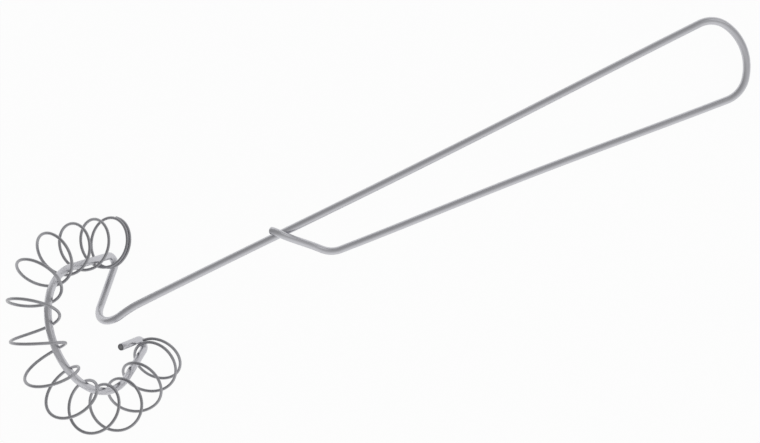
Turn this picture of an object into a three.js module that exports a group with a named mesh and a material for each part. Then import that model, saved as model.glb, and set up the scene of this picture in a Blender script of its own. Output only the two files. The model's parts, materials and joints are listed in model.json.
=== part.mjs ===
// Spiral whisk: one bent steel wire makes the handle, the spoke and an open ring,
// and a long spring with closed ends is threaded round the ring.
// Millimetres and degrees, +Z up. The whisk lies as on a table, with its handle along +X.

import * as THREE from 'three';

// Wires
const FRAME_WIRE = 3.0; // diameter of the frame's wire
const SPRING_WIRE = 1.2; // diameter of the coil's wire
const HOOK_GAP = 0.3; // gap between the hook and the shaft, which touch on the real whisk
const COIL_GAP = 0.6; // gap between the ring's wire and the turns that hang on it

// Ring, flat, with its centre at the handle's foot; angles are counted from the handle's side
const RING_RADIUS = 25.5; // to the middle of the wire
const RING_START = 72.5; // where the round of the ring begins, on the spoke's side
const RING_END = 277.5; // where it ends, on the tail's side
const SPOKE_ANGLE = 20; // direction of the spoke's outer corner from the ring's centre
const SPOKE_BEND = 3.0; // radius of the bend between ring and spoke
const TAIL_RUN = 17.5; // straight run between the ring's round and the tail bend
const TAIL_BEND = 2.5; // radius of the bend that turns the tail in
const TAIL_HEADING = 163; // direction of the tail from that bend
const TAIL_LENGTH = 12.5; // straight length of the tail

// Handle: a long shaft that goes on as one leg of a tapered loop
const HANDLE_RISE = 64; // angle between the handle and the ring's plane
const CROOK_DEPTH = 3.6; // how far the crook's corner lies past the ring's centre, along the shaft
const CROOK_ASIDE = 3.4; // how far it lies beside the shaft's line
const CROOK_BEND = 9.0; // radius of the bend between spoke and foot
const FOOT_LENGTH = 17; // ring centre to where the foot runs into the shaft
const FOOT_ASIDE = -0.45; // how far that place lies beside the shaft's line
const FOOT_BEND = 43; // radius of the slight bend there
const HANDLE_LENGTH = 278.3; // ring centre to the middle of the wire at the loop's end
const LOOP_END_RADIUS = 21.4; // wide arc at the loop's end
const LOOP_CORNER_RADIUS = 10.8; // tighter arcs on either side of it
const LOOP_CORNER_TURN = 60; // how far each of these turns
const LOOP_TAPER = 5.7; // angle between the loop's two legs
const LEG_BOW = 0.75; // how far each leg bows in, towards the other
const HOOK_PLACE = 84.0; // ring centre to where the hook crosses the shaft
const HOOK_ANGLE = 51; // angle between the hook's leg and the shaft
const HOOK_BEND = 10.0; // radius of the bend between the loop's leg and the hook's leg
const HOOK_WRAP = 72; // how far the hook goes round the shaft

// Coil: a spring of even pitch with its end turns closed
const COIL_RADIUS = 9.7; // to the middle of the spring's wire
const CLOSED_PITCH = 1.8; // turn to turn where the ends are closed
const COIL_FIRST = 0.08; // place round the first turn where the wire starts, as a share of a turn
const COIL_OPENS = 1.41; // turn at which the closed end opens out
const COIL_CLOSES = 13.43; // turn at which the coil closes again
const COIL_LAST = 14.5; // turn at which the wire ends
const PITCH_CHANGE = 0.25; // turns taken by the change between closed and open pitch
const COIL_INSET = 2.0; // spoke bend to the coil's first turn, along the wire
const COIL_STOP = 1.0; // the coil's last turn to the tail bend, along the wire
const SWING_MIDDLE = -12.5; // how far the turns opposite the handle swing off the ring's plane
const SWING_ENDS = 48.5; // the same for the end turns, towards the handle
const SWING_SKEW = -22; // how much the second half swings off more than the first
const LEAN_SPOKE = 3.5; // how far the first turns lean along the wire

// Steps along curves
const BEND_STEP = 14; // degrees of a tight bend
const ARC_STEP = 6; // degrees of a wide arc
const STRAIGHT_STEP = 24; // millimetres of a straight run
const FRAME_SIDES = 10;
const COIL_STEPS = 24; // per turn
const COIL_SIDES = 6;

const deg = THREE.MathUtils.degToRad;
const RING_AXIS = new THREE.Vector3(0, 0, 1);

function smooth(share) {
  return share * share * (3 - 2 * share);
}

function onRingPlane(angle, length = 1) {
  return new THREE.Vector3(Math.cos(deg(angle)), Math.sin(deg(angle)), 0).multiplyScalar(length);
}

// A wire laid out in order: straight runs and bends, each starting where the last one ended.
class WireRoute {
  constructor(start, heading) {
    this.at = start.clone();
    this.heading = heading.clone().normalize();
    this.points = [this.at.clone()];
  }

  straight(length) {
    const steps = Math.max(1, Math.ceil(length / STRAIGHT_STEP));
    for (let i = 0; i < steps; i += 1) {
      this.at.addScaledVector(this.heading, length / steps);
      this.points.push(this.at.clone());
    }
    return this;
  }

  // A run that ends in line with its start or shifted aside, and bows aside on its way
  bowed(length, axis, shift, bow) {
    const steps = Math.max(1, Math.ceil(length / STRAIGHT_STEP));
    const start = this.at.clone();
    const aside = axis.clone().cross(this.heading);
    for (let i = 1; i <= steps; i += 1) {
      const share = i / steps;
      const off = shift * smooth(share) + bow * Math.sin(Math.PI * share) ** 2;
      this.at.copy(start).addScaledVector(this.heading, length * share).addScaledVector(aside, off);
      this.points.push(this.at.clone());
    }
    return this;
  }

  bend(radius, axis, angle, step = BEND_STEP) {
    const steps = Math.max(1, Math.ceil(Math.abs(angle) / step));
    const side = Math.sign(angle);
    const centre = axis.clone().cross(this.heading).multiplyScalar(side * radius).add(this.at);
    const turn = new THREE.Quaternion().setFromAxisAngle(axis, deg(angle / steps));
    for (let i = 0; i < steps; i += 1) {
      this.at.sub(centre).applyQuaternion(turn).add(centre);
      this.heading.applyQuaternion(turn);
      this.points.push(this.at.clone());
    }
    return this;
  }

  turnTo(radius, direction) {
    const axis = this.heading.clone().cross(direction).normalize();
    const angle = THREE.MathUtils.radToDeg(this.heading.angleTo(direction));
    return this.bend(radius, axis, angle);
  }
}

// A curve through given stations, one per step, for a sweep.
class StationCurve extends THREE.Curve {
  constructor(stations) {
    super();
    this.stations = stations;
  }

  getUtoTmapping(u) {
    return u;
  }

  getPoint(t, target = new THREE.Vector3()) {
    return target.copy(this.stations[Math.round(t * (this.stations.length - 1))]);
  }

  getTangent(t, target = new THREE.Vector3()) {
    const last = this.stations.length - 1;
    const i = Math.round(t * last);
    const here = this.stations[i];
    const before = this.stations[Math.max(i - 1, 0)];
    const after = this.stations[Math.min(i + 1, last)];
    const inward = here.clone().sub(before).normalize();
    const outward = after.clone().sub(here).normalize();
    return target.copy(inward).add(outward).normalize();
  }
}

function wireGeometry(stations, diameter, sides) {
  const section = new THREE.Shape();
  for (let i = 0; i < sides; i += 1) {
    const angle = (2 * Math.PI * i) / sides;
    const x = (diameter / 2) * Math.cos(angle);
    const y = (diameter / 2) * Math.sin(angle);
    if (i === 0) section.moveTo(x, y);
    else section.lineTo(x, y);
  }
  section.closePath();
  const extrudePath = new StationCurve(stations);
  return new THREE.ExtrudeGeometry(section, { extrudePath, steps: stations.length - 1 });
}

// Where two runs meet, the length that a bend of this radius takes from each of them.
function bendSetback(radius, heading, nextHeading) {
  return radius * Math.tan(heading.angleTo(nextHeading) / 2);
}

// Handle frame: along the shaft, across the loop and out of the loop's plane
const shaft = onRingPlane(0, Math.cos(deg(HANDLE_RISE))).setZ(Math.sin(deg(HANDLE_RISE)));
const across = new THREE.Vector3(0, -1, 0);
const loopNormal = shaft.clone().cross(across);
const loopTop = loopNormal.clone().negate();

function onHandle(along, aside, above) {
  return new THREE.Vector3()
    .addScaledVector(shaft, along)
    .addScaledVector(across, aside)
    .addScaledVector(loopTop, above);
}

// Corners of the bent wire: the ring's last straight, the spoke, the foot and the shaft
const spokeCorner = onRingPlane(SPOKE_ANGLE, RING_RADIUS / Math.cos(deg(RING_START - SPOKE_ANGLE)));
const crookCorner = onHandle(-CROOK_DEPTH, CROOK_ASIDE, 0);
const spoke = crookCorner.clone().sub(spokeCorner);
const foot = onHandle(FOOT_LENGTH, FOOT_ASIDE, 0).sub(crookCorner);
const spokeSetback = bendSetback(SPOKE_BEND, onRingPlane(RING_START - 90), spoke);
const crookSetback = bendSetback(CROOK_BEND, spoke, foot);
const footSetback = bendSetback(FOOT_BEND, foot, shaft);
const spokeRun = RING_RADIUS * Math.tan(deg(RING_START - SPOKE_ANGLE)) - spokeSetback;

// Tail, from the end of the ring's round to the cut end
function tailStations() {
  const start = onRingPlane(RING_END, RING_RADIUS);
  const route = new WireRoute(start, onRingPlane(RING_END + 90));
  route.straight(TAIL_RUN);
  route.bend(TAIL_BEND, RING_AXIS, TAIL_HEADING - (RING_END + 90 - 360));
  route.straight(TAIL_LENGTH);
  return route.points;
}

// The hook's leg climbs over the shaft, and its end winds round the shaft's far side
function hookStations(from) {
  const reach = FRAME_WIRE + HOOK_GAP;
  const stations = [];
  const legSteps = 8;
  for (let i = 1; i <= legSteps; i += 1) {
    const share = i / legSteps;
    const along = THREE.MathUtils.lerp(from.along, HOOK_PLACE, share);
    const aside = THREE.MathUtils.lerp(from.aside, 0, share);
    stations.push(onHandle(along, aside, reach * smooth(share)));
  }
  const wrapSteps = Math.ceil(HOOK_WRAP / BEND_STEP);
  for (let i = 1; i <= wrapSteps; i += 1) {
    const turn = deg(HOOK_WRAP) * (i / wrapSteps);
    const along = HOOK_PLACE - (reach * turn) / Math.tan(deg(HOOK_ANGLE));
    stations.push(onHandle(along, -reach * Math.sin(turn), reach * Math.cos(turn)));
  }
  return stations;
}

// Frame wire, from the tail's cut end to the hook's end
function frameStations() {
  const tail = tailStations().reverse();
  const route = new WireRoute(tail[tail.length - 1], onRingPlane(RING_END - 90));
  route.bend(RING_RADIUS, RING_AXIS, RING_START - RING_END, ARC_STEP);
  route.straight(spokeRun);
  route.turnTo(SPOKE_BEND, spoke);
  route.straight(spoke.length() - spokeSetback - crookSetback);
  route.turnTo(CROOK_BEND, foot);
  route.straight(foot.length() - crookSetback - footSetback);
  route.turnTo(FOOT_BEND, shaft);

  const cornerShare = Math.sin(deg(LOOP_CORNER_TURN));
  const loopEndDepth = LOOP_CORNER_RADIUS * cornerShare + LOOP_END_RADIUS * (1 - cornerShare);
  const legStart = { along: route.at.dot(shaft), aside: route.at.dot(across) };
  route.bowed(HANDLE_LENGTH - loopEndDepth - legStart.along, loopNormal, -legStart.aside, LEG_BOW);
  route.bend(LOOP_CORNER_RADIUS, loopNormal, LOOP_CORNER_TURN);
  route.bend(LOOP_END_RADIUS, loopNormal, 180 + LOOP_TAPER - 2 * LOOP_CORNER_TURN, 2 * ARC_STEP);
  route.bend(LOOP_CORNER_RADIUS, loopNormal, LOOP_CORNER_TURN);

  // the loop's second leg runs on to the line of the hook's leg
  const legAlong = route.at.dot(shaft);
  const legAside = route.at.dot(across);
  const hookSlope = Math.tan(deg(HOOK_ANGLE));
  const legSlope = Math.tan(deg(LOOP_TAPER));
  const hookCorner = (hookSlope * HOOK_PLACE + legAside - legSlope * legAlong) / (hookSlope - legSlope);
  const hookTurn = HOOK_ANGLE - LOOP_TAPER;
  const legLength = (legAlong - hookCorner) / Math.cos(deg(LOOP_TAPER));
  route.bowed(legLength - HOOK_BEND * Math.tan(deg(hookTurn) / 2), loopNormal, 0, LEG_BOW);
  route.bend(HOOK_BEND, loopNormal, hookTurn);
  const hook = hookStations({ along: route.at.dot(shaft), aside: route.at.dot(across) });
  return [...tail, ...route.points.slice(1), ...hook];
}

// The wire under the coil, measured from the spoke bend: straight, round and straight
const roundLength = RING_RADIUS * deg(RING_END - RING_START);
const coilRoom = spokeRun + roundLength + TAIL_RUN - COIL_STOP - COIL_INSET;

function wireUnderCoil(length) {
  const pastStart = length - spokeRun;
  const round = THREE.MathUtils.clamp(pastStart, 0, roundLength);
  const angle = RING_START + THREE.MathUtils.radToDeg(round / RING_RADIUS);
  const heading = onRingPlane(angle + 90);
  const point = onRingPlane(angle, RING_RADIUS).addScaledVector(heading, pastStart - round);
  return { point, heading, outward: heading.clone().cross(RING_AXIS) };
}

// Length gained by a pitch that changes evenly over PITCH_CHANGE turns
function ramp(turns) {
  const half = PITCH_CHANGE / 2;
  if (turns <= -half) return 0;
  if (turns >= half) return turns;
  return (turns + half) ** 2 / (2 * PITCH_CHANGE);
}

// The open turns share what the closed ends leave of the room between the two bends
const openTurns = COIL_CLOSES - COIL_OPENS;
const closedLength = CLOSED_PITCH * (COIL_LAST - COIL_FIRST);
const openPitch = CLOSED_PITCH + (coilRoom - closedLength) / openTurns;

function coilPlace(turn) {
  const extra = (openPitch - CLOSED_PITCH) * (ramp(turn - COIL_OPENS) - ramp(turn - COIL_CLOSES));
  return COIL_INSET + CLOSED_PITCH * (turn - COIL_FIRST) + extra;
}

// Each turn hangs on the ring's wire, which touches it from inside
function coilPoint(turn) {
  const place = coilPlace(turn);
  const offMiddle = (2 * (place - COIL_INSET)) / coilRoom - 1;
  const endward = offMiddle ** 4;
  const skew = SWING_SKEW * offMiddle * (1 - offMiddle ** 2);
  const swing = deg(THREE.MathUtils.lerp(SWING_MIDDLE, SWING_ENDS, endward) + skew);
  const lean = offMiddle < 0 ? LEAN_SPOKE * endward : 0;
  const round = 2 * Math.PI * turn;
  const hang = COIL_RADIUS - (SPRING_WIRE + FRAME_WIRE) / 2 - COIL_GAP;
  const wire = wireUnderCoil(place);
  return wire.point
    .addScaledVector(wire.outward, hang * Math.cos(swing) + COIL_RADIUS * Math.cos(round))
    .addScaledVector(RING_AXIS, hang * Math.sin(swing) + COIL_RADIUS * Math.sin(round))
    .addScaledVector(wire.heading, -lean * Math.cos(round));
}

// Both ends of the spring run straight for one wire's thickness
function coilStations() {
  const count = Math.round((COIL_LAST - COIL_FIRST) * COIL_STEPS);
  const stations = [];
  for (let i = 0; i <= count; i += 1) {
    stations.push(coilPoint(THREE.MathUtils.lerp(COIL_FIRST, COIL_LAST, i / count)));
  }
  const straightEnd = (end, before) => end.clone().sub(before).setLength(SPRING_WIRE).add(end);
  stations.unshift(straightEnd(stations[0], stations[1]));
  stations.push(straightEnd(stations[count + 1], stations[count]));
  return stations;
}

const frameRoute = frameStations();
const coilRoute = coilStations();

// Least gaps, measured on points
function pointsAlong(stations, spacing) {
  const points = [];
  for (let i = 0; i < stations.length - 1; i += 1) {
    const steps = Math.max(1, Math.ceil(stations[i].distanceTo(stations[i + 1]) / spacing));
    for (let k = 0; k < steps; k += 1) {
      points.push(stations[i].clone().lerp(stations[i + 1], k / steps));
    }
  }
  return points;
}

function leastDistance(pointsA, pointsB, skip = 0) {
  let least = Infinity;
  pointsA.forEach((a, i) => {
    for (let k = skip ? i + skip : 0; k < pointsB.length; k += 1) {
      least = Math.min(least, a.distanceToSquared(pointsB[k]));
    }
  });
  return Math.sqrt(least);
}

const measureStep = SPRING_WIRE / 3;
const coilPoints = pointsAlong(coilRoute, measureStep);
const framePoints = pointsAlong(frameRoute, measureStep);
const halfTurn = Math.round((Math.PI * COIL_RADIUS) / measureStep);
const selfGap = leastDistance(coilPoints, coilPoints, halfTurn) - SPRING_WIRE;
const frameGap = leastDistance(coilPoints, framePoints) - (SPRING_WIRE + FRAME_WIRE) / 2;
console.log(`coil: least gap to itself ${selfGap.toFixed(2)} mm, open pitch ${openPitch.toFixed(2)} mm`);
console.log(`coil: least gap to the frame ${frameGap.toFixed(2)} mm`);

// Pieces
const frameWire = new THREE.Mesh(
  wireGeometry(frameRoute, FRAME_WIRE, FRAME_SIDES),
  new THREE.MeshStandardMaterial({ color: 0xbcbcc0, roughness: 0.35, metalness: 1.0 }),
);
frameWire.name = 'frame_wire';

const whiskCoil = new THREE.Mesh(
  wireGeometry(coilRoute, SPRING_WIRE, COIL_SIDES),
  new THREE.MeshStandardMaterial({ color: 0x9b9b9f, roughness: 0.3, metalness: 1.0 }),
);
whiskCoil.name = 'whisk_coil';

const whisk = new THREE.Group();
whisk.add(frameWire, whiskCoil);

// The whisk lies on three points: the head on either side of the shaft, and the loop's end
function cornersOf(mesh) {
  const position = mesh.geometry.getAttribute('position');
  const corners = [];
  for (let i = 0; i < position.count; i += 1) {
    corners.push(new THREE.Vector3().fromBufferAttribute(position, i));
  }
  return corners;
}

const corners = [...cornersOf(frameWire), ...cornersOf(whiskCoil)];
const isHead = (p) => p.dot(shaft) < HANDLE_LENGTH / 2;
const feet = [
  corners.filter((p) => isHead(p) && p.y > 0),
  corners.filter((p) => isHead(p) && p.y < 0),
  corners.filter((p) => !isHead(p)),
];

function lowest(points, up) {
  return points.reduce((low, p) => (p.dot(up) < low.dot(up) ? p : low));
}

function restingUp() {
  let up = loopTop.clone();
  const passes = 12;
  for (let i = 0; i < passes; i += 1) {
    const [left, right, end] = feet.map((points) => lowest(points, up));
    const plane = right.clone().sub(end).cross(left.clone().sub(end)).normalize();
    up = plane.dot(loopTop) < 0 ? plane.negate() : plane;
  }
  return up;
}

const up = restingUp();
const forward = shaft.clone().projectOnPlane(up).normalize();
const sideways = up.clone().cross(forward);
const toTable = new THREE.Matrix4().makeBasis(forward, sideways, up).transpose();
const box = new THREE.Box3().setFromPoints(corners.map((p) => p.clone().applyMatrix4(toTable)));
whisk.quaternion.setFromRotationMatrix(toTable);
whisk.position.set(-(box.min.x + box.max.x) / 2, -(box.min.y + box.max.y) / 2, -box.min.z);

const part = new THREE.Group();
part.add(whisk);

export default part;
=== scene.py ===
"""Spiral whisk of bent steel wire, lying on a white table.

One thick wire makes the handle's loop, the spoke and the open ring, and a spring is
threaded round the ring. Both wires follow the same sizes as the part's own source, but the
spring's closed turns lie closer here and its last turn stops a little sooner.
"""

import json
from math import acos, atan2, ceil, cos, hypot, pi, radians, sin, tan

import bpy
from mathutils import Matrix, Quaternion, Vector


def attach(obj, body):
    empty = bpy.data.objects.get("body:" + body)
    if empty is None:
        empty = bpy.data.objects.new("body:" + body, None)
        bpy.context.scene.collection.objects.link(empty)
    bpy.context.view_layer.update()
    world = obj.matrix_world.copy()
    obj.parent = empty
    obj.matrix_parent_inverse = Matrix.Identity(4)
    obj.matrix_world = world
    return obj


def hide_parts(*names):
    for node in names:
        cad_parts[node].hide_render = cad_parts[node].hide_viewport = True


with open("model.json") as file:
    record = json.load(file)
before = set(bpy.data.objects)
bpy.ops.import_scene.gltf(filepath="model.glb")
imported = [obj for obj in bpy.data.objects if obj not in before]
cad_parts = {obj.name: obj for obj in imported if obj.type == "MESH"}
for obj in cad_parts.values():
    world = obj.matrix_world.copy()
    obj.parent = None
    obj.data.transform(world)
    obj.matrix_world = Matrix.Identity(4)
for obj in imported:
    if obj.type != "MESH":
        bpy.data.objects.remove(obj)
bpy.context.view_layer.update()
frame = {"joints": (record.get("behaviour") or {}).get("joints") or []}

MM = 0.001

# Wires, in millimetres
FRAME_WIRE = 3.0
SPRING_WIRE = 1.2
HOOK_GAP = 0.3
COIL_GAP = 0.6

# Ring; angles in degrees, counted from the handle's side
RING_RADIUS = 25.5
RING_START = 72.5
RING_END = 277.5
SPOKE_ANGLE = 20
SPOKE_BEND = 3.0
TAIL_RUN = 17.5
TAIL_BEND = 2.5
TAIL_HEADING = 163
TAIL_LENGTH = 12.5

# Handle
HANDLE_RISE = 64
CROOK_DEPTH = 3.6
CROOK_ASIDE = 3.4
CROOK_BEND = 9.0
FOOT_LENGTH = 17
FOOT_ASIDE = -0.45
FOOT_BEND = 43
HANDLE_LENGTH = 278.3
LOOP_END_RADIUS = 21.4
LOOP_CORNER_RADIUS = 10.8
LOOP_CORNER_TURN = 60
LOOP_TAPER = 5.7
LEG_BOW = 0.75
HOOK_PLACE = 84.0
HOOK_ANGLE = 51
HOOK_BEND = 10.0
HOOK_WRAP = 72

# Coil; its closed end turns almost touch each other
COIL_RADIUS = 9.7
CLOSED_PITCH = 1.3
COIL_FIRST = 0.08
COIL_OPENS = 1.41
COIL_CLOSES = 13.43
COIL_LAST = 14.5
PITCH_CHANGE = 0.25
COIL_INSET = 2.0
COIL_STOP = 1.2
SWING_MIDDLE = -12.5
SWING_ENDS = 48.5
SWING_SKEW = -22
LEAN_SPOKE = 3.5

# Fineness of the wires; a face with more corners than a side's is a cut end. The small
# chamfer that tumbling leaves on a cut end is a share of the wire's thickness
BEND_STEP = 3
STRAIGHT_STEP = 10
HOOK_STEPS = 24
COIL_STEPS = 72
FRAME_SIDES = 24
COIL_SIDES = 12
SIDE_CORNERS = 4
CUT_CHAMFER = 0.06

# Drawn steel
FRAME_BRIGHT = (0.63, 0.63, 0.66, 1.0)
FRAME_DULL = (0.50, 0.50, 0.53, 1.0)
SPRING_BRIGHT = (0.42, 0.42, 0.44, 1.0)
SPRING_DULL = (0.30, 0.30, 0.32, 1.0)
CUT_RIM = (0.13, 0.13, 0.14, 1.0)
CUT_MIDDLE = (0.30, 0.30, 0.31, 1.0)

# Marks of the drawing die, long and fine along the wire, and patches of tarnish
STREAKS_ALONG = 60.0
STREAKS_ROUND = (9.0, 9.0, 0.0)
STREAK_DETAIL = 2.0
STREAK_ROUGHNESS = 0.5
STREAK_DEPTH = 0.00008
STREAK_RELIEF = 0.35
STREAK_TONE = 0.6
TARNISH_SCALE = 70.0
TARNISH_DETAIL = 3.0
TARNISH_TONE = 0.4

# Roughness of the steel, and how much the marks, the tarnish and a sheared end change it
STEEL_ROUGHNESS = 0.30
STREAK_CHANGE = 0.2
TARNISH_CHANGE = 0.1
CUT_CHANGE = 0.2
NOISE_MIDDLE = 0.5

# Table, in metres, and the share of its white that no shadow darkens
WHITE = (1.0, 1.0, 1.0, 1.0)
TABLE_PAINT = (0.97, 0.97, 0.97, 1.0)
TABLE_HALF = 3.0
TABLE_GLOW = 0.95

# Camera, and the studio seen from it
CAMERA_PLACE = (51.70, -2.00, 625.75)
CAMERA_TURN = (-3.439, 4.513, -26.729)
IMAGE_WIDTH = 760
FOCAL_PIXELS = 1550
SENSOR = 36.0
CAMERA_NEAR = 0.01
FRONT = Vector((-0.446, -0.895, 0.0))
RIGHT = Vector((0.893, -0.450, 0.0))
FAR_RIGHT = Vector((0.966, 0.248, 0.0))

# Studio light: straight above, and what is added to the right, in front and far in front
LIGHT_ABOVE = 0.49
LIGHT_RIGHT = 0.08
LIGHT_FRONT = 0.25
LIGHT_FRONT_RIGHT = 0.10
LIGHT_FAR_FRONT = 0.28

# Lamp, in metres and watts
LAMP_DISTANCE = 1.1
LAMP_HEIGHT = 0.8
LAMP_SIZE = 0.8
LAMP_POWER = 1.0


class Socket:
    """A node's output as a number; an expression on it adds Math nodes."""

    def __init__(self, nodes, socket):
        self.nodes = nodes
        self.socket = socket

    def math(self, operation, first, second):
        made = self.nodes.add("ShaderNodeMath", {"operation": operation}, {0: first, 1: second})
        return made["Value"]

    def __add__(self, other):
        return self.math("ADD", self, other)

    def __radd__(self, other):
        return self.math("ADD", other, self)

    def __sub__(self, other):
        return self.math("SUBTRACT", self, other)

    def __rsub__(self, other):
        return self.math("SUBTRACT", other, self)

    def __mul__(self, other):
        return self.math("MULTIPLY", self, other)


class Nodes:
    """A node tree that is written in order."""

    def __init__(self, tree):
        self.tree = tree
        tree.nodes.clear()

    def add(self, kind, settings=None, sockets=None):
        """Adds a node, with its settings first, then the values or links of its sockets."""
        made = self.tree.nodes.new(kind)
        for name, value in (settings or {}).items():
            setattr(made, name, value)
        for name, value in (sockets or {}).items():
            if isinstance(value, Socket):
                self.tree.links.new(value.socket, made.inputs[name])
            else:
                made.inputs[name].default_value = value
        return {socket.name: Socket(self, socket) for socket in made.outputs if socket.enabled}

    def mix_colours(self, share, first, second):
        """Mixes two colours; sockets 6 and 7 are a Mix node's colours."""
        mixed = self.add("ShaderNodeMix", {"data_type": "RGBA"}, {0: share, 6: first, 7: second})
        return mixed["Result"]


class Route:
    """The middle line of a wire, laid out in order: straight runs and bends."""

    def __init__(self, start, heading):
        self.at = start.copy()
        self.heading = heading.normalized()
        self.points = [self.at.copy()]

    def straight(self, length):
        steps = max(1, ceil(length / STRAIGHT_STEP))
        for _ in range(steps):
            self.at += self.heading * (length / steps)
            self.points.append(self.at.copy())

    def bowed(self, length, axis, shift, bow):
        """A run that ends in line with its start or shifted aside, and bows aside on its way."""
        steps = max(1, ceil(length / STRAIGHT_STEP))
        start = self.at.copy()
        aside = axis.cross(self.heading)
        for i in range(1, steps + 1):
            share = i / steps
            off = shift * smooth(share) + bow * sin(pi * share) ** 2
            self.at = start + self.heading * (length * share) + aside * off
            self.points.append(self.at.copy())

    def bend(self, radius, axis, angle):
        steps = max(1, ceil(abs(angle) / BEND_STEP))
        side = 1 if angle > 0 else -1
        centre = self.at + axis.cross(self.heading) * (side * radius)
        turn = Quaternion(axis, radians(angle / steps))
        for _ in range(steps):
            self.at = centre + turn @ (self.at - centre)
            self.heading = turn @ self.heading
            self.points.append(self.at.copy())

    def turn_to(self, radius, direction):
        axis = self.heading.cross(direction).normalized()
        self.bend(radius, axis, self.heading.angle(direction) * 180 / pi)


def smooth(share):
    return share * share * (3 - 2 * share)


def mix(start, end, share):
    return start + (end - start) * share


def on_ring_plane(angle, length=1.0):
    return Vector((cos(radians(angle)), sin(radians(angle)), 0.0)) * length


def bend_setback(radius, heading, next_heading):
    return radius * tan(heading.angle(next_heading) / 2)


# Ring frame: the ring lies in the XY plane, round the origin, and the shaft rises from there
RING_AXIS = Vector((0.0, 0.0, 1.0))
SHAFT = on_ring_plane(0, cos(radians(HANDLE_RISE))) + RING_AXIS * sin(radians(HANDLE_RISE))
ACROSS = Vector((0.0, -1.0, 0.0))
LOOP_NORMAL = SHAFT.cross(ACROSS)

# Corners of the bent wire: the ring's last straight, the spoke, the foot and the shaft
spoke_corner = on_ring_plane(SPOKE_ANGLE, RING_RADIUS / cos(radians(RING_START - SPOKE_ANGLE)))
crook_corner = ACROSS * CROOK_ASIDE - SHAFT * CROOK_DEPTH
spoke = crook_corner - spoke_corner
foot = SHAFT * FOOT_LENGTH + ACROSS * FOOT_ASIDE - crook_corner
spoke_setback = bend_setback(SPOKE_BEND, on_ring_plane(RING_START - 90), spoke)
crook_setback = bend_setback(CROOK_BEND, spoke, foot)
foot_setback = bend_setback(FOOT_BEND, foot, SHAFT)
spoke_run = RING_RADIUS * tan(radians(RING_START - SPOKE_ANGLE)) - spoke_setback


def ring_to_table():
    """The ring frame as it lies on the table: the shaft points along +X, seen from above."""
    joint = frame["joints"][0]
    axis = Vector(joint["axis"]).normalized()
    lift = atan2(axis.z, axis.x) - acos(sin(radians(HANDLE_RISE)) / hypot(axis.x, axis.z))
    shaft = Vector((cos(lift), 0.0, sin(lift)))
    ahead = (shaft - axis * shaft.dot(axis)).normalized()
    turn = Matrix((ahead, axis.cross(ahead), axis)).transposed().to_4x4()
    return Matrix.Translation(Vector(joint["pos_m"])) @ turn @ Matrix.Scale(MM, 4)


def on_handle(along, aside, above):
    return SHAFT * along + ACROSS * aside - LOOP_NORMAL * above


def tail_points():
    route = Route(on_ring_plane(RING_END, RING_RADIUS), on_ring_plane(RING_END + 90))
    route.straight(TAIL_RUN)
    route.bend(TAIL_BEND, RING_AXIS, TAIL_HEADING - (RING_END + 90 - 360))
    route.straight(TAIL_LENGTH)
    return route.points


def hook_points(leg_end):
    """The hook's leg climbs over the shaft, and its end winds round the shaft's far side."""
    reach = FRAME_WIRE + HOOK_GAP
    leg_along = leg_end.dot(SHAFT)
    leg_aside = leg_end.dot(ACROSS)
    points = []
    for i in range(1, HOOK_STEPS + 1):
        share = i / HOOK_STEPS
        along = mix(leg_along, HOOK_PLACE, share)
        points.append(on_handle(along, mix(leg_aside, 0, share), reach * smooth(share)))
    wrap_steps = ceil(HOOK_WRAP / BEND_STEP)
    for i in range(1, wrap_steps + 1):
        turn = radians(HOOK_WRAP) * i / wrap_steps
        along = HOOK_PLACE - reach * turn / tan(radians(HOOK_ANGLE))
        points.append(on_handle(along, -reach * sin(turn), reach * cos(turn)))
    return points


def frame_points():
    tail = tail_points()[::-1]
    route = Route(tail[-1], on_ring_plane(RING_END - 90))
    route.bend(RING_RADIUS, RING_AXIS, RING_START - RING_END)
    route.straight(spoke_run)
    route.turn_to(SPOKE_BEND, spoke)
    route.straight(spoke.length - spoke_setback - crook_setback)
    route.turn_to(CROOK_BEND, foot)
    route.straight(foot.length - crook_setback - foot_setback)
    route.turn_to(FOOT_BEND, SHAFT)

    corner_share = sin(radians(LOOP_CORNER_TURN))
    loop_end_depth = LOOP_CORNER_RADIUS * corner_share + LOOP_END_RADIUS * (1 - corner_share)
    upper_leg = HANDLE_LENGTH - loop_end_depth - route.at.dot(SHAFT)
    route.bowed(upper_leg, LOOP_NORMAL, -route.at.dot(ACROSS), LEG_BOW)
    route.bend(LOOP_CORNER_RADIUS, LOOP_NORMAL, LOOP_CORNER_TURN)
    route.bend(LOOP_END_RADIUS, LOOP_NORMAL, 180 + LOOP_TAPER - 2 * LOOP_CORNER_TURN)
    route.bend(LOOP_CORNER_RADIUS, LOOP_NORMAL, LOOP_CORNER_TURN)

    leg_along = route.at.dot(SHAFT)
    leg_aside = route.at.dot(ACROSS)
    hook_slope = tan(radians(HOOK_ANGLE))
    leg_slope = tan(radians(LOOP_TAPER))
    hook_corner = hook_slope * HOOK_PLACE + leg_aside - leg_slope * leg_along
    hook_corner /= hook_slope - leg_slope
    lower_leg = (leg_along - hook_corner) / cos(radians(LOOP_TAPER))
    hook_turn = HOOK_ANGLE - LOOP_TAPER
    hook_setback = HOOK_BEND * tan(radians(hook_turn) / 2)
    route.bowed(lower_leg - hook_setback, LOOP_NORMAL, 0, LEG_BOW)
    route.bend(HOOK_BEND, LOOP_NORMAL, hook_turn)
    return tail + route.points[1:] + hook_points(route.at)


# The wire under the coil is straight, round and straight
round_length = RING_RADIUS * radians(RING_END - RING_START)
coil_room = spoke_run + round_length + TAIL_RUN - COIL_STOP - COIL_INSET
closed_room = CLOSED_PITCH * (COIL_LAST - COIL_FIRST)
open_pitch = CLOSED_PITCH + (coil_room - closed_room) / (COIL_CLOSES - COIL_OPENS)


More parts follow.
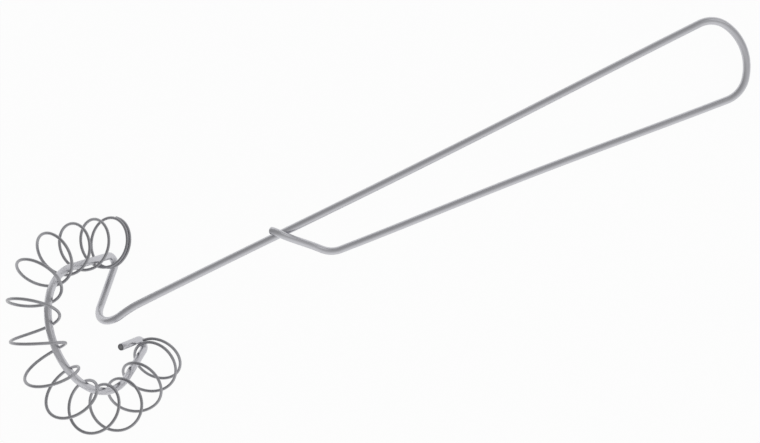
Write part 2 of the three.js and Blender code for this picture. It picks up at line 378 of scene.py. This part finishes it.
def ramp(turns):
    """The turns since the coil opened or closed, with a soft start."""
    half = PITCH_CHANGE / 2
    if turns <= -half:
        return 0.0
    if turns >= half:
        return turns
    return (turns + half) ** 2 / (2 * PITCH_CHANGE)


def coil_place(turn):
    opened = ramp(turn - COIL_OPENS) - ramp(turn - COIL_CLOSES)
    return COIL_INSET + CLOSED_PITCH * (turn - COIL_FIRST) + (open_pitch - CLOSED_PITCH) * opened


def coil_point(turn):
    """A point on the coil: each turn hangs on the ring's wire, which passes through it."""
    place = coil_place(turn)
    past_start = place - spoke_run
    on_round = min(max(past_start, 0.0), round_length)
    angle = RING_START + on_round / RING_RADIUS * 180 / pi
    heading = on_ring_plane(angle + 90)
    outward = heading.cross(RING_AXIS)
    wire = on_ring_plane(angle, RING_RADIUS) + heading * (past_start - on_round)

    off_middle = 2 * (place - COIL_INSET) / coil_room - 1
    endward = off_middle ** 4
    skew = SWING_SKEW * off_middle * (1 - off_middle ** 2)
    swing = radians(mix(SWING_MIDDLE, SWING_ENDS, endward) + skew)
    lean = LEAN_SPOKE * endward if off_middle < 0 else 0.0
    hang = COIL_RADIUS - (SPRING_WIRE + FRAME_WIRE) / 2 - COIL_GAP
    round_turn = 2 * pi * turn
    out = hang * cos(swing) + COIL_RADIUS * cos(round_turn)
    up = hang * sin(swing) + COIL_RADIUS * sin(round_turn)
    return wire + outward * out + RING_AXIS * up - heading * (lean * cos(round_turn))


def coil_points():
    count = round((COIL_LAST - COIL_FIRST) * COIL_STEPS)
    points = [coil_point(mix(COIL_FIRST, COIL_LAST, i / count)) for i in range(count + 1)]
    first_end = points[0] + (points[0] - points[1]).normalized() * SPRING_WIRE
    last_end = points[-1] + (points[-1] - points[-2]).normalized() * SPRING_WIRE
    return [first_end] + points + [last_end]


def wire_tree():
    """Sweeps a round wire along an edge chain and closes its cut ends."""
    tree = bpy.data.node_groups.new("round_wire", "GeometryNodeTree")
    face = tree.interface
    face.new_socket("Line", in_out="INPUT", socket_type="NodeSocketGeometry")
    face.new_socket("Radius", in_out="INPUT", socket_type="NodeSocketFloat")
    face.new_socket("Sides", in_out="INPUT", socket_type="NodeSocketInt")
    face.new_socket("Finish", in_out="INPUT", socket_type="NodeSocketMaterial")
    face.new_socket("Wire", in_out="OUTPUT", socket_type="NodeSocketGeometry")
    nodes = Nodes(tree)
    given = nodes.add("NodeGroupInput")
    thinness = nodes.add(
        "GeometryNodeInputNamedAttribute", {"data_type": "FLOAT"}, {"Name": "thinness"})["Attribute"]
    line = nodes.add("GeometryNodeMeshToCurve", {}, {"Mesh": given["Line"]})["Curve"]
    run = nodes.add("GeometryNodeSplineParameter")["Length"]
    line = nodes.add(
        "GeometryNodeStoreNamedAttribute", {"data_type": "FLOAT", "domain": "POINT"},
        {"Geometry": line, "Name": "along", "Value": run})["Geometry"]
    section = nodes.add(
        "GeometryNodeCurvePrimitiveCircle", {"mode": "RADIUS"},
        {"Resolution": given["Sides"], "Radius": 1.0})["Curve"]
    place = nodes.add("GeometryNodeInputPosition")["Position"]
    section = nodes.add(
        "GeometryNodeStoreNamedAttribute", {"data_type": "FLOAT_VECTOR", "domain": "POINT"},
        {"Geometry": section, "Name": "across", "Value": place})["Geometry"]
    wire = nodes.add(
        "GeometryNodeCurveToMesh", {},
        {
            "Curve": line,
            "Profile Curve": section,
            "Scale": thinness * given["Radius"],
            "Fill Caps": True,
        })["Mesh"]
    corners = nodes.add("GeometryNodeInputMeshFaceNeighbors")["Vertex Count"]
    rounded = nodes.add(
        "FunctionNodeCompare", {"data_type": "INT", "operation": "LESS_EQUAL"},
        {2: corners, 3: SIDE_CORNERS})["Result"]
    wire = nodes.add(
        "GeometryNodeStoreNamedAttribute", {"data_type": "FLOAT", "domain": "FACE"},
        {"Geometry": wire, "Name": "cut", "Value": 1 - rounded})["Geometry"]
    wire = nodes.add(
        "GeometryNodeSetShadeSmooth", {}, {"Geometry": wire, "Shade Smooth": rounded})["Geometry"]
    wire = nodes.add("GeometryNodeRealizeInstances", {}, {"Geometry": wire})["Geometry"]
    wire = nodes.add(
        "GeometryNodeSetMaterial", {}, {"Geometry": wire, "Material": given["Finish"]})["Geometry"]
    nodes.add("NodeGroupOutput", {}, {"Wire": wire})
    return tree


def sweep_wire(name, points, diameter, sides, finish, tree):
    """Makes a wire along the points, with a small chamfer at each cut end."""
    chamfer = CUT_CHAMFER * diameter
    into_first = points[0] + (points[1] - points[0]).normalized() * chamfer
    into_last = points[-1] + (points[-2] - points[-1]).normalized() * chamfer
    stations = [points[0], into_first] + points[1:-1] + [into_last, points[-1]]
    cut_share = 1 - 2 * CUT_CHAMFER
    thinness = [cut_share] + [1.0] * (len(stations) - 2) + [cut_share]
    to_table = ring_to_table()

    line = bpy.data.meshes.new(name + "_line")
    edges = [(i, i + 1) for i in range(len(stations) - 1)]
    line.from_pydata([to_table @ point for point in stations], edges, [])
    line.attributes.new("thinness", "FLOAT", "POINT").data.foreach_set("value", thinness)
    piece = bpy.data.objects.new(name, line)
    bpy.context.scene.collection.objects.link(piece)

    sweep = piece.modifiers.new("sweep", "NODES")
    sweep.node_group = tree
    values = {"Radius": diameter / 2 * MM, "Sides": sides, "Finish": finish}
    for item in tree.interface.items_tree:
        if item.name in values:
            sweep[item.identifier] = values[item.name]
    evaluated = piece.evaluated_get(bpy.context.evaluated_depsgraph_get())
    wire = bpy.data.meshes.new_from_object(evaluated)
    piece.modifiers.remove(sweep)
    piece.data = wire
    wire.name = name
    return piece


def drawn_steel(name, bright, dull):
    """Steel wire with the long fine marks of the drawing die, and darker sheared ends."""
    material = bpy.data.materials.new(name)
    material.use_nodes = True
    nodes = Nodes(material.node_tree)
    along = nodes.add("ShaderNodeAttribute", {"attribute_name": "along"})["Fac"]
    across = nodes.add("ShaderNodeAttribute", {"attribute_name": "across"})["Vector"]
    cut = nodes.add("ShaderNodeAttribute", {"attribute_name": "cut"})["Fac"]
    place = nodes.add("ShaderNodeTexCoord")["Object"]

    run = nodes.add("ShaderNodeCombineXYZ", {}, {"Z": along * STREAKS_ALONG})["Vector"]
    streak_place = nodes.add(
        "ShaderNodeVectorMath", {"operation": "MULTIPLY_ADD"},
        {0: across, 1: STREAKS_ROUND, 2: run})["Vector"]
    streaks = nodes.add(
        "ShaderNodeTexNoise", {},
        {
            "Vector": streak_place,
            "Scale": 1.0,
            "Detail": STREAK_DETAIL,
            "Roughness": STREAK_ROUGHNESS,
        })["Fac"]
    tarnish = nodes.add(
        "ShaderNodeTexNoise", {},
        {"Vector": place, "Scale": TARNISH_SCALE, "Detail": TARNISH_DETAIL})["Fac"]

    tone = nodes.mix_colours(streaks * STREAK_TONE + tarnish * TARNISH_TONE, dull, bright)
    from_middle = nodes.add("ShaderNodeVectorMath", {"operation": "LENGTH"}, {0: across})["Value"]
    sheared = nodes.mix_colours(from_middle * from_middle, CUT_MIDDLE, CUT_RIM)
    colour = nodes.mix_colours(cut, tone, sheared)
    relief = nodes.add(
        "ShaderNodeBump", {},
        {"Strength": STREAK_RELIEF, "Distance": STREAK_DEPTH, "Height": streaks})["Normal"]
    roughness = (
        STEEL_ROUGHNESS + (streaks - NOISE_MIDDLE) * STREAK_CHANGE
        + (tarnish - NOISE_MIDDLE) * TARNISH_CHANGE + cut * CUT_CHANGE)
    steel = nodes.add(
        "ShaderNodeBsdfPrincipled", {},
        {"Base Color": colour, "Metallic": 1.0, "Roughness": roughness, "Normal": relief})["BSDF"]
    nodes.add("ShaderNodeOutputMaterial", {}, {"Surface": steel})
    return material


def white_table():
    """A white floor that keeps a faint shadow."""
    material = bpy.data.materials.new("white_table")
    material.use_nodes = True
    nodes = Nodes(material.node_tree)
    ray = nodes.add("ShaderNodeLightPath")
    seen = ray["Is Camera Ray"] + ray["Is Glossy Ray"] + ray["Is Transmission Ray"]
    paint = nodes.add("ShaderNodeBsdfDiffuse", {}, {"Color": TABLE_PAINT})["BSDF"]
    glow = nodes.add("ShaderNodeEmission", {}, {"Color": WHITE, "Strength": 1.0})["Emission"]
    table = nodes.add("ShaderNodeMixShader", {}, {0: seen * TABLE_GLOW, 1: paint, 2: glow})["Shader"]
    nodes.add("ShaderNodeOutputMaterial", {}, {"Surface": table})

    mesh = bpy.data.meshes.new("table")
    corners = [
        (-TABLE_HALF, -TABLE_HALF, 0.0),
        (TABLE_HALF, -TABLE_HALF, 0.0),
        (TABLE_HALF, TABLE_HALF, 0.0),
        (-TABLE_HALF, TABLE_HALF, 0.0),
    ]
    mesh.from_pydata(corners, [], [(0, 1, 2, 3)])
    mesh.materials.append(material)
    table_top = bpy.data.objects.new("table", mesh)
    bpy.context.scene.collection.objects.link(table_top)


def studio_walls():
    """A soft studio, bright in front and to the right. The camera sees it as plain white."""
    world = bpy.data.worlds.new("studio")
    world.use_nodes = True
    nodes = Nodes(world.node_tree)
    direction = nodes.add("ShaderNodeTexCoord")["Generated"]
    front = nodes.add(
        "ShaderNodeVectorMath", {"operation": "DOT_PRODUCT"}, {0: direction, 1: FRONT})["Value"]
    right = nodes.add(
        "ShaderNodeVectorMath", {"operation": "DOT_PRODUCT"}, {0: direction, 1: RIGHT})["Value"]
    in_front = LIGHT_FRONT + right * LIGHT_FRONT_RIGHT + front * LIGHT_FAR_FRONT
    level = LIGHT_ABOVE + right * LIGHT_RIGHT + front * in_front
    seen = nodes.add("ShaderNodeLightPath")["Is Camera Ray"]
    strength = level + (1 - level) * seen
    light = nodes.add(
        "ShaderNodeBackground", {}, {"Color": WHITE, "Strength": strength})["Background"]
    nodes.add("ShaderNodeOutputWorld", {}, {"Surface": light})
    bpy.context.scene.world = world


def soft_lamp(name, place, size, power):
    lamp = bpy.data.lights.new(name, "AREA")
    lamp.size = size
    lamp.energy = power
    holder = bpy.data.objects.new(name, lamp)
    holder.location = place
    holder.rotation_euler = (-place).to_track_quat("-Z", "Y").to_euler()
    bpy.context.scene.collection.objects.link(holder)


def photo_camera():
    camera = bpy.data.cameras.new("camera")
    camera.sensor_fit = "HORIZONTAL"
    camera.sensor_width = SENSOR
    camera.lens = SENSOR * FOCAL_PIXELS / IMAGE_WIDTH
    camera.clip_start = CAMERA_NEAR
    holder = bpy.data.objects.new("camera", camera)
    holder.location = Vector(CAMERA_PLACE) * MM
    holder.rotation_euler = [radians(angle) for angle in CAMERA_TURN]
    bpy.context.scene.collection.objects.link(holder)
    bpy.context.scene.camera = holder


bpy.context.scene.view_settings.view_transform = "Standard"
photo_camera()
white_table()
studio_walls()
lamp_place = FAR_RIGHT * LAMP_DISTANCE + Vector((0.0, 0.0, LAMP_HEIGHT))
soft_lamp("far_lamp", lamp_place, LAMP_SIZE, LAMP_POWER)

round_wire = wire_tree()
frame_steel = drawn_steel("drawn_steel", FRAME_BRIGHT, FRAME_DULL)
spring_steel = drawn_steel("spring_steel", SPRING_BRIGHT, SPRING_DULL)

whisk_frame = sweep_wire(
    "whisk_frame", frame_points(), FRAME_WIRE, FRAME_SIDES, frame_steel, round_wire)
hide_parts("frame_wire")
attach(whisk_frame, "frame")

beater_spring = sweep_wire(
    "beater_spring", coil_points(), SPRING_WIRE, COIL_SIDES, spring_steel, round_wire)
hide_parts("whisk_coil")
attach(beater_spring, "coil")
